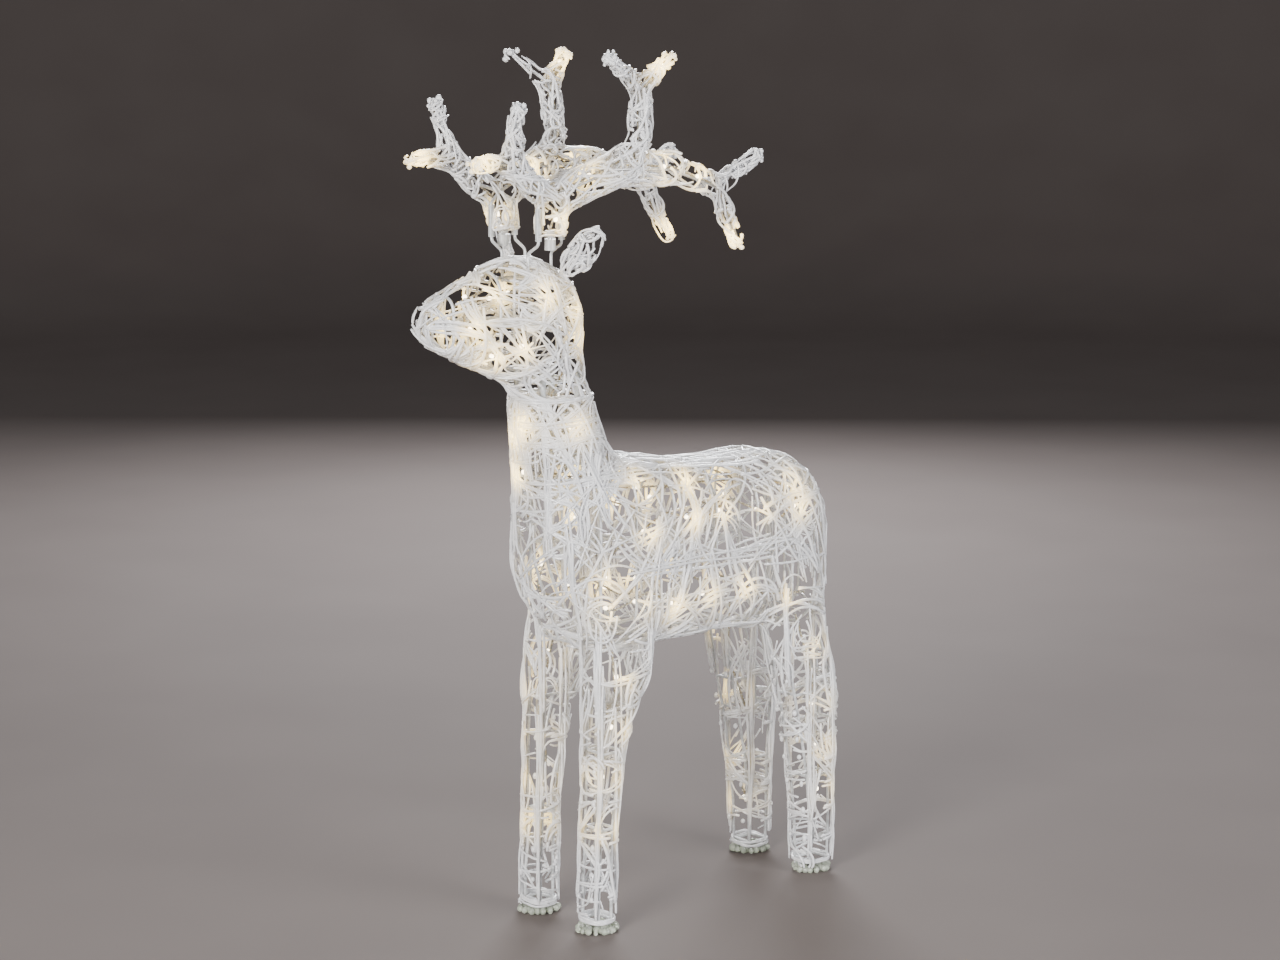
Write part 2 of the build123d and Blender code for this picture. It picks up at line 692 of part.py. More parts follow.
def antler_lamps():
    """Four lamps beside the cable and one between the two passes at each of three tips."""
    route = antler_route()
    out = lamps_on(route, lambda p: (1, 0, 0), [0, 17, 18]) + lamps_on(route, lambda p: (-1, 0, 0), [8])
    for p, q, back in ((FRONT_NODE, FRONT_OUT, 9), (TOP_NODE, TOP_BACK, 9.5), (REAR_ROOT, REAR_DOWN, 8)):
        a, b = at(*p), at(*q)
        out.append(lamp(b - (b - a).normalized() * back, b - a))
    return group(out)


def antler_plug():
    body = Pos(0, 0, 3) * Cylinder(5.2, 7)
    for dy in (2.0, -2.0):
        body += Pos(0, dy, -3.5) * Cylinder(0.8, 8)
    return one(Pos(POST_SIDE, CENTRE_Y - 207, 719.6) * body)


def antler_socket():
    body = Cylinder(5.6, 11)
    for dy in (2.0, -2.0):
        body -= Pos(0, dy, 2.5) * Cylinder(1.2, 9)
    body = Pos(POST_SIDE, CENTRE_Y - 207, 712.2) * body
    return one(body)


def mirrored(shape):
    return mirror(shape, about=Plane.YZ)


# ---------------------------------------------------------------- write the parts

def main():
    os.makedirs("parts", exist_ok=True)
    nodes = {}
    nodes["torso_frame"] = torso_frame()
    nodes["torso_winding"] = torso_winding()
    nodes["torso_led_cable_left"] = cable("torso_led_cable_left", torso_route(1))
    nodes["torso_led_cable_right"] = cable("torso_led_cable_right", torso_route(-1))
    nodes["neck_led_cable"] = cable("neck_led_cable", neck_route())
    nodes["torso_led_lamps"] = torso_lamps()
    nodes["neck_socket"] = neck_socket()
    nodes["neck_socket_bracket"] = neck_socket_bracket()
    for name, (forward, _, side) in FEET.items():
        stations = FRONT_LEG if forward > 0 else BACK_LEG
        winding = leg_winding(stations, side)
        if name == "back_left":
            winding = one(winding - gland_plane() * Cylinder(GLAND_HOLE, 16))
        nodes[f"{name}_leg_winding"] = winding
        nodes[f"{name}_leg_frame"] = leg_frame(stations, side)
        nodes[f"{name}_leg_led_cable"] = cable(f"{name}_leg_led_cable", leg_route(name))
        nodes[f"{name}_leg_led_lamps"] = leg_lamps(name)
        nodes[f"{name}_foot_beads"] = foot_beads(name)
    nodes["supply_gland"] = supply_gland()
    nodes["head_frame"] = head_frame()
    nodes["head_winding"] = head_winding()
    nodes["neck_tubes"] = neck_tubes()
    nodes["neck_plug"] = neck_plug()
    nodes["head_led_cable"] = cable("head_led_cable", head_route())
    nodes["head_led_lamps"] = head_lamps()
    for name, shape in zip(("frame", "winding"), ear_parts()):
        nodes[f"ear_left_{name}"] = shape
        nodes[f"ear_right_{name}"] = mirrored(shape)
    antler = {
        "winding": antler_winding(), "frame": antler_frame(), "sleeves": antler_sleeves(),
        "led_cable": cable("antler_led_cable", antler_route(), 8), "led_lamps": antler_lamps(),
        "plug": antler_plug(),
    }
    for name, shape in antler.items():
        nodes[f"antler_left_{name}"] = shape
        nodes[f"antler_right_{name}"] = mirrored(shape)
    nodes["antler_left_socket"] = antler_socket()
    nodes["antler_right_socket"] = mirrored(antler_socket())
    for name, shape in nodes.items():
        export_step(shape, f"parts/{name}.step")
    box = Compound(children=list(nodes.values())).bounding_box()
    print("box", box.min, box.max, len(nodes), "nodes")


main()
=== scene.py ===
import json
import math
import random

import bpy
import numpy as np
from mathutils import Matrix, Vector
from mathutils.bvhtree import BVHTree
from mathutils.kdtree import KDTree


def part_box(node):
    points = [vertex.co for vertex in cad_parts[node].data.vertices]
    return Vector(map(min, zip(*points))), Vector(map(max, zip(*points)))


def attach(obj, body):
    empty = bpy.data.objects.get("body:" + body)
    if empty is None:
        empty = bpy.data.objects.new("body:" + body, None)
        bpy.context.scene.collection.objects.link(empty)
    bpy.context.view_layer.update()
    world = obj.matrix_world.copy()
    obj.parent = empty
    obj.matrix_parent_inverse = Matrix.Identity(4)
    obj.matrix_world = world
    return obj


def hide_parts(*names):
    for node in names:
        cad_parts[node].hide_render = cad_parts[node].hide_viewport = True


# Light up yard reindeer, metres. +Z is up, the deer looks along -Y, +X is its left side.
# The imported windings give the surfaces; the thread is laid over them strand by strand.

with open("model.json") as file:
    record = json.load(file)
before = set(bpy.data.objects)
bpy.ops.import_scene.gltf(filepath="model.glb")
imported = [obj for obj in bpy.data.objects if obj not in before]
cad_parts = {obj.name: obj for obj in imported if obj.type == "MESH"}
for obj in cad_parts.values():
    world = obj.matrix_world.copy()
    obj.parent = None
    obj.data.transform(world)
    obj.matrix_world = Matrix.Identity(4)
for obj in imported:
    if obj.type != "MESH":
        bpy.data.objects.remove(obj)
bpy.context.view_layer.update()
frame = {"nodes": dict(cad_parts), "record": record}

THREAD_R = 0.00125          # usual thread radius
STEP = 0.0065               # distance between points of a strand
FINE_STEP = 0.0042          # the same on the thin antlers and ears
SIDES = 6                   # facets round a strand
PAINTED_GLOW_NEAR = 0.0110          # reach of the painted lamp glow on the thread
PAINTED_GLOW_FAR = 0.019
TIP_REACH = 0.011           # an antler tip is a place where the skin turns away on all sides
TIP_DEPTH = 0.0030
CENTRE_Y = 0.0791           # middle of the wheelbase is this far behind the origin
THIGH_Z = 0.2               # over this the legs widen
HOOP_Z = 0.014              # the wire hoop of a foot
DROP_R = 0.0021             # a dipped lamp at its widest
FLOW = 0.0011               # a strand rises and sinks this much as it was poured
LIFT = 0.0012               # the next point is looked for from this far above the skin
NEAR_PAINTED_GLOW = 3.6            # painted lamp glow in the thread close to a lamp, and further out
FAR_PAINTED_GLOW = 0.58
MOST_PAINTED_GLOW = 4.4
FLOOR_R = 5.0               # studio floor, and the radius of its curve up to the wall
COVE_R = 2.0
WALL_TOP = 6.0


# ------------------------------------------------------------------ camera, floor and light

def make_camera():
    data = bpy.data.cameras.new("camera")
    data.sensor_width = 36.0
    data.lens = 81.46
    camera = bpy.data.objects.new("camera", data)
    bpy.context.scene.collection.objects.link(camera)
    camera.location = (2.19104, CENTRE_Y - 2.06032, 0.97782)
    target = Vector((0.0, CENTRE_Y - 0.05443, 0.45456))
    camera.rotation_euler = (target - camera.location).to_track_quat("-Z", "Y").to_euler()
    bpy.context.scene.camera = camera


def area_light(name, place, aim, size, power, colour):
    data = bpy.data.lights.new(name, "AREA")
    data.shape, data.size, data.energy, data.color = "DISK", size, power, colour
    lamp = bpy.data.objects.new(name, data)
    lamp.location = place
    lamp.rotation_euler = (Vector(aim) - Vector(place)).to_track_quat("-Z", "Y").to_euler()
    bpy.context.scene.collection.objects.link(lamp)


def make_studio():
    """A round floor that curves up into a plain wall, three soft lights and an even sky."""
    profile = [(3.0, 0.0), (FLOOR_R, 0.0)]
    profile += [(FLOOR_R + COVE_R * math.sin(a), COVE_R - COVE_R * math.cos(a))
                for a in (math.radians(turn) for turn in range(10, 91, 10))]
    profile.append((FLOOR_R + COVE_R, WALL_TOP))
    sides, verts = 96, []
    for reach, height in profile:
        turns = [2 * math.pi * k / sides for k in range(sides)]
        verts += [(reach * math.cos(a), reach * math.sin(a), height) for a in turns]
    faces = [tuple(range(sides))]
    for i in range(len(profile) - 1):
        for k in range(sides):
            j = (k + 1) % sides
            faces.append((i * sides + k, i * sides + j, (i + 1) * sides + j, (i + 1) * sides + k))
    mesh = bpy.data.meshes.new("floor")
    mesh.from_pydata(verts, [], faces)
    mesh.polygons.foreach_set("use_smooth", [len(p.vertices) == 4 for p in mesh.polygons])
    mesh.materials.append(floor_material())
    floor = bpy.data.objects.new("floor", mesh)
    bpy.context.scene.collection.objects.link(floor)
    world = bpy.data.worlds.new("studio")
    bpy.context.scene.world = world
    world.use_nodes = True
    sky = world.node_tree.nodes["Background"]
    sky.inputs["Color"].default_value = (0.80, 0.80, 0.84, 1)
    sky.inputs["Strength"].default_value = 0.30
    middle = (0, 0, 0.5)
    area_light("key", (1.0, -3.0, 1.10), middle, 1.5, 180, (1.0, 0.985, 0.96))
    area_light("fill", (3.1, 0.6, 0.95), middle, 1.8, 125, (0.97, 0.98, 1.0))
    area_light("rim", (-2.0, 1.9, 1.6), middle, 1.4, 110, (0.96, 0.97, 1.0))


# ------------------------------------------------------------------ materials

def new_material(name):
    mat = bpy.data.materials.new(name)
    mat.use_nodes = True
    nodes = mat.node_tree.nodes
    return mat, nodes, mat.node_tree.links, nodes["Principled BSDF"]


def noise_ramp(nodes, links, scale, detail, stops):
    """Noise in object space turned into colours; returns the noise and ramp nodes."""
    place = nodes.new("ShaderNodeTexCoord")
    noise = nodes.new("ShaderNodeTexNoise")
    noise.inputs["Scale"].default_value = scale
    noise.inputs["Detail"].default_value = detail
    links.new(place.outputs["Object"], noise.inputs["Vector"])
    ramp = nodes.new("ShaderNodeValToRGB")
    while len(ramp.color_ramp.elements) < len(stops):
        ramp.color_ramp.elements.new(0.5)
    for element, (at, colour) in zip(ramp.color_ramp.elements, stops):
        element.position, element.color = at, (*colour, 1)
    links.new(noise.outputs["Fac"], ramp.inputs["Fac"])
    return noise, ramp


def add_bump(nodes, links, bsdf, noise, strength, distance):
    bump = nodes.new("ShaderNodeBump")
    bump.inputs["Strength"].default_value = strength
    bump.inputs["Distance"].default_value = distance
    links.new(noise.outputs["Fac"], bump.inputs["Height"])
    links.new(bump.outputs["Normal"], bsdf.inputs["Normal"])


def floor_material():
    mat, nodes, links, bsdf = new_material("floor_card")
    _, ramp = noise_ramp(nodes, links, 3.0, 2.0, [
        (0.3, (0.148, 0.124, 0.116)), (0.7, (0.161, 0.136, 0.127))])
    links.new(ramp.outputs["Color"], bsdf.inputs["Base Color"])
    bsdf.inputs["Roughness"].default_value = 0.9
    return mat


def thread_material():
    """Clear extruded acrylic: milky body, bright edges, and a painted warm lamp glow beside the lamps.
    """
    mat, nodes, links, bsdf = new_material("acrylic_thread")
    noise, ramp = noise_ramp(nodes, links, 190.0, 3.0, [
        (0.25, (0.83, 0.83, 0.86)), (0.5, (0.94, 0.94, 0.96)), (0.75, (0.99, 0.99, 1.0))])
    links.new(ramp.outputs["Color"], bsdf.inputs["Base Color"])
    bsdf.inputs["Transmission Weight"].default_value = 0.22
    bsdf.inputs["IOR"].default_value = 1.46
    bsdf.inputs["Coat Weight"].default_value = 0.5
    bsdf.inputs["Coat Roughness"].default_value = 0.06
    rough = nodes.new("ShaderNodeMapRange")
    rough.inputs["To Min"].default_value = 0.10
    rough.inputs["To Max"].default_value = 0.34
    links.new(noise.outputs["Fac"], rough.inputs["Value"])
    links.new(rough.outputs["Result"], bsdf.inputs["Roughness"])
    add_bump(nodes, links, bsdf, noise, 0.35, 0.0006)
    # Painted lamp light: a per-point value from the distance to the lamps drives warm emission,
    # standing in for LED light falling on the thread.
    glow = nodes.new("ShaderNodeAttribute")
    glow.attribute_name = "glow"
    links.new(glow.outputs["Fac"], bsdf.inputs["Emission Strength"])
    bsdf.inputs["Emission Color"].default_value = (1.0, 0.70, 0.19, 1)
    return mat


def bead_material():
    mat, nodes, links, bsdf = new_material("acrylic_beads")
    noise, ramp = noise_ramp(nodes, links, 120.0, 2.0, [
        (0.3, (0.58, 0.64, 0.52)), (0.6, (0.79, 0.83, 0.72)), (0.8, (0.93, 0.95, 0.89))])
    links.new(ramp.outputs["Color"], bsdf.inputs["Base Color"])
    bsdf.inputs["Transmission Weight"].default_value = 0.55
    bsdf.inputs["IOR"].default_value = 1.46
    bsdf.inputs["Roughness"].default_value = 0.12
    add_bump(nodes, links, bsdf, noise, 0.3, 0.001)
    return mat


def wire_material():
    mat, nodes, links, bsdf = new_material("frame_wire")
    noise, ramp = noise_ramp(nodes, links, 240.0, 4.0, [
        (0.3, (0.52, 0.53, 0.54)), (0.55, (0.70, 0.71, 0.72)), (0.8, (0.82, 0.82, 0.83))])
    links.new(ramp.outputs["Color"], bsdf.inputs["Base Color"])
    bsdf.inputs["Metallic"].default_value = 0.35
    rough = nodes.new("ShaderNodeMapRange")
    rough.inputs["To Min"].default_value = 0.28
    rough.inputs["To Max"].default_value = 0.55
    links.new(noise.outputs["Fac"], rough.inputs["Value"])
    links.new(rough.outputs["Result"], bsdf.inputs["Roughness"])
    add_bump(nodes, links, bsdf, noise, 0.15, 0.0004)
    return mat


def cable_material():
    mat, nodes, links, bsdf = new_material("lamp_cable")
    noise, ramp = noise_ramp(nodes, links, 420.0, 1.0, [
        (0.35, (0.20, 0.21, 0.19)), (0.5, (0.42, 0.33, 0.20)), (0.68, (0.62, 0.64, 0.58))])
    links.new(ramp.outputs["Color"], bsdf.inputs["Base Color"])
    bsdf.inputs["Roughness"].default_value = 0.35
    add_bump(nodes, links, bsdf, noise, 0.5, 0.0006)
    return mat


def lamp_material():
    mat, nodes, links, bsdf = new_material("warm_lamp")
    _, ramp = noise_ramp(nodes, links, 300.0, 1.0, [
        (0.3, (1.0, 0.80, 0.50)), (0.7, (1.0, 0.92, 0.74))])
    links.new(ramp.outputs["Color"], bsdf.inputs["Base Color"])
    links.new(ramp.outputs["Color"], bsdf.inputs["Emission Color"])
    bsdf.inputs["Emission Strength"].default_value = 9.0
    bsdf.inputs["Roughness"].default_value = 0.2
    return mat


def plastic_material(name, light, dark, clear):
    mat, nodes, links, bsdf = new_material(name)
    noise, ramp = noise_ramp(nodes, links, 260.0, 3.0, [(0.35, dark), (0.7, light)])
    links.new(ramp.outputs["Color"], bsdf.inputs["Base Color"])
    bsdf.inputs["Roughness"].default_value = 0.3
    bsdf.inputs["Transmission Weight"].default_value = clear
    add_bump(nodes, links, bsdf, noise, 0.2, 0.0004)
    return mat


# ------------------------------------------------------------------ surfaces the thread is laid on

class Skin:
    """Outer surface of some packed windings: nearest points, normals and random starts."""

    def __init__(self, names, rng, reach, step=STEP):
        self.rng, self.reach, self.step = rng, reach, step
        points, faces, self.owner = [], [], []
        for name in names:
            mesh = frame["nodes"][name].data
            first = len(points)
            points += [v.co.copy() for v in mesh.vertices]
            for poly in mesh.polygons:
                faces.append([first + i for i in poly.vertices])
                self.owner.append(name)
        self.tree = BVHTree.FromPolygons(points, faces)
        self.points, self.faces = points, faces
        area = []
        for face in faces:
            a, b, c = (points[i] for i in face[:3])
            area.append((b - a).cross(c - a).length / 2)
        self.sums = np.cumsum(area)
        spots = [self.start()[:2] for _ in range(1800)]
        self.facing = np.array([tuple(normal) for _, normal in spots])
        self.spots_at = [point for point, _ in spots]
        self.spots = KDTree(len(spots))
        for i, (point, _) in enumerate(spots):
            self.spots.insert(point, i)
        self.spots.balance()

    def middle(self, found):
        return np.mean([tuple(self.spots_at[k]) for k in found], axis=0)

    def grain(self, point, normal):
        """Long direction of the part at a point: the one along which the skin turns least."""
        found = [i for _, i, _ in self.spots.find_range(point, self.reach)]
        across = normal.orthogonal().normalized()
        if len(found) < 6:
            return across
        facing = self.facing[found]
        _, axes = np.linalg.eigh(facing.T @ facing)
        axis = Vector(axes[:, 0])
        axis -= normal * axis.dot(normal)
        return axis.normalized() if axis.length > 0.25 else across

    def open_air(self, point, normal):
        """True on the outside: some ray over the surface gets away."""
        side = normal.orthogonal().normalized()
        other = normal.cross(side)
        for tilt in (Vector((0, 0, 0)), side * 0.8, -side * 0.8, other * 0.8, -other * 0.8):
            way = (normal + tilt).normalized()
            if self.tree.ray_cast(point + normal * 0.0006, way, 2.0)[0] is None:
                return True
        return False

    def start(self, allowed=None):
        while True:
            index = int(np.searchsorted(self.sums, self.rng.random() * self.sums[-1]))
            a, b, c = (self.points[i] for i in self.faces[index][:3])
            u, v = self.rng.random(), self.rng.random()
            if u + v > 1:
                u, v = 1 - u, 1 - v
            point = a + (b - a) * u + (c - a) * v
            if allowed and not allowed(self.owner[index], point):
                continue
            normal = (b - a).cross(c - a)
            if normal.length < 1e-12:
                continue
            normal.normalize()
            if self.open_air(point, normal):
                return point, normal, self.owner[index]

    def walk(self, point, normal, way, length, height, bend, wander, hold=0.0):
        """A strand over the surface. bend curls it, wander shakes it, hold keeps it on its way."""
        rng, out, aim_way = self.rng, [point + normal * height], way.copy()
        way = way - normal * way.dot(normal)
        if way.length < 1e-6:
            way = normal.orthogonal()
        way.normalize()
        phase, pace = rng.uniform(0, 6.3), rng.uniform(0.25, 0.6)
        for k in range(max(3, int(length / self.step))):
            way = Matrix.Rotation(bend * self.step + rng.gauss(0, wander), 3, normal) @ way
            way = way + aim_way * hold
            ahead = point + way.normalized() * self.step + normal * LIFT
            there, facing, _, _ = self.tree.find_nearest(ahead)
            if facing.dot(normal) < 0.1:
                facing = normal
            point, normal = there, (normal * 0.4 + facing * 0.6).normalized()
            way = way - normal * way.dot(normal)
            if way.length < 1e-5:
                break
            way.normalize()
            above = height + FLOW * math.sin(phase + pace * k) + rng.gauss(0, 0.0004)
            out.append(point + normal * above)
        return out


def smooth_path(path, times):
    points = np.array([tuple(p) for p in path])
    for _ in range(times):
        if len(points) > 2:
            points[1:-1] = points[1:-1] * 0.5 + (points[:-2] + points[2:]) * 0.25
    return points


# ------------------------------------------------------------------ tubes

class Tubes:
    """Collects strands and writes them as one mesh with a painted lamp glow value on each point."""

    def __init__(self):
        self.verts, self.faces, self.count = [], [], 0

    def add(self, path, radius, sides=SIDES, rng=None, lumps=0.0):
        points = np.asarray(path, float)
        if len(points) < 3:
            return
        runs = np.gradient(points, axis=0)
        size = np.linalg.norm(runs, axis=1, keepdims=True)
        if (size < 1e-9).any():
            return
        runs /= size
        normal = np.cross(runs[0], (0.31, 0.52, 0.79))
        normal /= np.linalg.norm(normal)
        n = len(points)
        angles = np.arange(sides) * (2 * math.pi / sides)
        rings = np.empty((n, sides, 3))
        for i in range(n):
            normal = normal - runs[i] * normal.dot(runs[i])
            normal /= max(np.linalg.norm(normal), 1e-9)
            other = np.cross(runs[i], normal)
            r = radius
            if rng is not None:
                r *= 1.0 + lumps * rng.gauss(0, 1) * 0.5
            r = max(r, radius * 0.55)
            circle = np.outer(np.cos(angles), normal) + np.outer(np.sin(angles), other)
            rings[i] = points[i] + r * circle
        caps = np.array([points[0] - runs[0] * radius * 0.6, points[-1] + runs[-1] * radius * 0.6])
        first = self.count
        self.verts.append(rings.reshape(-1, 3))
        self.verts.append(caps)
        i = np.arange(n - 1)[:, None] * sides
        k = np.arange(sides)[None, :]
        j = (k + 1) % sides
        quads = np.stack([i + k, i + j, i + sides + j, i + sides + k], axis=2).reshape(-1, 4) + first
        self.faces.append(quads)
        low, high = first + n * sides, first + n * sides + 1
        last = first + (n - 1) * sides
        ends = [(low, first + (a + 1) % sides, first + a) for a in range(sides)]
        ends += [(high, last + a, last + (a + 1) % sides) for a in range(sides)]
        self.faces.append(np.array(ends))
        self.count += n * sides + 2

    def add_bead(self, centre, radii, rings=6, sides=9):
        """A rounded drop."""
        centre, first = np.array(centre), self.count
        verts = [centre + (0, 0, radii[2])]
        for a in range(1, rings):
            up = math.pi * a / rings
            for b in range(sides):
                turn = 2 * math.pi * b / sides
                verts.append(centre + (radii[0] * math.sin(up) * math.cos(turn),
                                       radii[1] * math.sin(up) * math.sin(turn),
                                       radii[2] * math.cos(up)))
        verts.append(centre - (0, 0, radii[2]))
        quads, tris = [], []
        for b in range(sides):
            c = (b + 1) % sides
            tris.append((first, first + 1 + b, first + 1 + c))
            for a in range(rings - 2):
                low = first + 1 + a * sides
                quads.append((low + b, low + sides + b, low + sides + c, low + c))
            low = first + 1 + (rings - 2) * sides
            tris.append((low + b, first + len(verts) - 1, low + c))
        self.verts.append(np.array(verts))
        self.faces += [np.array(quads), np.array(tris)]
        self.count += len(verts)

    def piece(self, name, body, slot, material, lamps=None, replaced=()):
        mesh = bpy.data.meshes.new(name)
        verts = np.concatenate(self.verts)
        faces = [tuple(f) for block in self.faces for f in block.tolist()]
        mesh.from_pydata(verts.tolist(), [], faces)
        mesh.polygons.foreach_set("use_smooth", [True] * len(mesh.polygons))
        if lamps is not None:
            # Painted lamp light: warm emission strength for each point, from its distance to the lamps.
            glow = mesh.attributes.new("glow", "FLOAT", "POINT")
            glow.data.foreach_set("value", painted_glow_from_lamps(verts, lamps))
        mesh.materials.append(material)
        piece = bpy.data.objects.new(name, mesh)
        bpy.context.scene.collection.objects.link(piece)
        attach(piece, body)
        if replaced:
            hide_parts(*replaced)
        return piece


def painted_glow_from_lamps(verts, lamps):
    """Painted lamp glow on the thread at each point, from the distance to the lamps."""
    tree = np.array([tuple(p) for p in lamps])
    out = np.zeros(len(verts))
    for start in range(0, len(verts), 20000):
        block = verts[start:start + 20000]
        away = np.linalg.norm(block[:, None, :] - tree[None, :, :], axis=2)
        light = (NEAR_PAINTED_GLOW * np.exp(-(away / PAINTED_GLOW_NEAR) ** 2)
                 + FAR_PAINTED_GLOW * np.exp(-(away / PAINTED_GLOW_FAR) ** 2))
        out[start:start + 20000] = light.sum(axis=1)
    return np.minimum(out, MOST_PAINTED_GLOW).astype(np.float32)


# ------------------------------------------------------------------ lamps

def islands(node):
    """Centre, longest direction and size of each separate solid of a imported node."""
    mesh = frame["nodes"][node].data
    parent = list(range(len(mesh.vertices)))

    def root(i):
        while parent[i] != i:
            parent[i] = parent[parent[i]]
            i = parent[i]
        return i

    places = {}
    for v in mesh.vertices:
        key = tuple(round(c, 6) for c in v.co)
        if key in places:
            parent[root(v.index)] = root(places[key])
        places[key] = v.index
    for edge in mesh.edges:
        a, b = (root(i) for i in edge.vertices)
        parent[a] = b
    groups = {}
    for v in mesh.vertices:
        groups.setdefault(root(v.index), []).append(tuple(v.co))
    out = []
    for members in groups.values():
        points = np.array(members)
        centre = (points.min(axis=0) + points.max(axis=0)) / 2
        _, _, axes = np.linalg.svd(points - points.mean(axis=0), full_matrices=False)
        reach = (points - centre) @ axes[0]
        out.append((centre, axes[0], (reach.max() - reach.min()) / 2))
    return sorted(out, key=lambda item: tuple(item[0]))


def lamp_piece(node, body, material):
    """Dipped lamps: a rounded drop with a small base, one beside each solder joint."""
    tubes = Tubes()
    profile = [(-1.0, 0.45), (-0.82, 0.8), (-0.5, 0.9), (-0.42, 1.0),
               (0.1, 1.0), (0.55, 0.86), (0.85, 0.52), (1.0, 0.12)]
    for centre, axis, half in islands(node):
        side = np.cross(axis, (0.3, 0.5, 0.8))
        side /= np.linalg.norm(side)
        other = np.cross(axis, side)
        sides, first, verts, faces = 10, tubes.count, [], []
        for along, wide in profile:
            for k in range(sides):
                a = 2 * math.pi * k / sides
                verts.append(centre + axis * along * half
                             + DROP_R * wide * (side * math.cos(a) + other * math.sin(a)))
        for i in range(len(profile) - 1):
            for k in range(sides):
                j = (k + 1) % sides
                faces.append((first + i * sides + k, first + i * sides + j,
                              first + (i + 1) * sides + j, first + (i + 1) * sides + k))
        tubes.verts.append(np.array(verts))
        tubes.faces.append(np.array(faces))
        ends = [[first + k for k in reversed(range(sides))],
                [first + (len(profile) - 1) * sides + k for k in range(sides)]]
        tubes.faces.append(np.array(ends))
        tubes.count += len(verts)
    tubes.piece(node + "_drops", body, "warm_lamp", material, replaced=(node,))


# ------------------------------------------------------------------ winding the deer

def wound(tubes, skin, rng, area, cover, mix, lengths, curls, curl_bend, allowed=None,
          groups=(1, 1, 2, 3, 4)):
    """Strands in small groups until they cover their share of the area.

    mix lists (share, mean angle from the grain, spread); curls is the share of strands that curl.
    """
    laid, wanted = 0.0, area * cover / (2 * THREAD_R)
    while laid < wanted:
        point, normal, _ = skin.start(allowed)
        pick, angle = rng.random(), 0.0
        for share, mean, spread in mix:
            pick -= share
            if pick <= 0:
                angle = rng.choice((-1, 1)) * math.radians(rng.gauss(mean, spread))
                break
        way = Matrix.Rotation(angle, 3, normal) @ skin.grain(point, normal)
        length, bend = rng.uniform(*lengths), rng.gauss(0, 7)
        if rng.random() < curls:
            bend = rng.choice((-1, 1)) * rng.uniform(*curl_bend)
            length = min(length, 5.8 / abs(bend))
        aside = normal.cross(way).normalized()
        for _ in range(rng.choice(groups)):
            start = point + aside * rng.gauss(0, 0.0026) + way * rng.gauss(0, 0.006)
            there, facing, _, _ = skin.tree.find_nearest(start)
            if facing.dot(normal) < 0.2:
                continue
            turned = Matrix.Rotation(rng.gauss(0, 0.07), 3, facing) @ way
            path = skin.walk(there, facing, turned, length * rng.uniform(0.75, 1.1),
                             rng.uniform(-0.003, 0.0), bend + rng.gauss(0, 1.2), 0.05)
            if len(path) < 4:
                continue
            tubes.add(smooth_path(path, 2), THREAD_R * rng.uniform(0.65, 1.35), rng=rng, lumps=0.16)
            laid += skin.step * len(path)


def bundle(tubes, skin, rng, start, way, length, count, spread, wander=0.022):
    """Threads laid side by side along one line of the frame."""
    way = Vector(way)
    for _ in range(count):
        jitter = Vector([rng.gauss(0, spread) for _ in range(3)])
        near = Vector(start) + jitter + way * rng.uniform(0, 0.12) * length
        there, facing, _, _ = skin.tree.find_nearest(near)
        path = skin.walk(there, facing, way, length * rng.uniform(0.6, 0.95),
                         rng.uniform(-0.0026, 0.0002), 0.0, wander, hold=0.22)
        if len(path) > 4:
            tubes.add(smooth_path(path, 2), THREAD_R * rng.uniform(0.8, 1.25), rng=rng, lumps=0.14)


def turn_round(tubes, skin, rng, start, way, length, count, spread):
    """Turns of thread round the part, pulled tight."""
    for _ in range(count):
        jitter = Vector([rng.gauss(0, spread) for _ in range(3)])
        there, facing, _, _ = skin.tree.find_nearest(Vector(start) + jitter)
        tilted = Vector(way) + Vector((0, 0, rng.gauss(0, 0.05)))
        path = skin.walk(there, facing, tilted, length * rng.uniform(0.85, 1.05),
                         rng.uniform(-0.0016, 0.0002), 0.0, 0.02)
        if len(path) > 4:
            tubes.add(smooth_path(path, 1), THREAD_R * rng.uniform(0.85, 1.2), rng=rng, lumps=0.14)


def tip_drops(tubes, skin, rng):
    """Round drops where the skin closes over the end of a limb."""
    for point, facing in zip(skin.spots_at, skin.facing):
        found = [k for _, k, _ in skin.spots.find_range(point, TIP_REACH)]
        if len(found) < 5:
            continue
        behind = (skin.middle(found) - np.array(point)).dot(facing)
        mean = skin.facing[found].mean(axis=0)
        if behind < -TIP_DEPTH and np.linalg.norm(mean) > 0.58 and rng.random() < 0.55:
            size = rng.uniform(0.0016, 0.0030)
            tubes.add_bead(point, (size, size * rng.uniform(0.85, 1.1), size * rng.uniform(0.85, 1.2)))


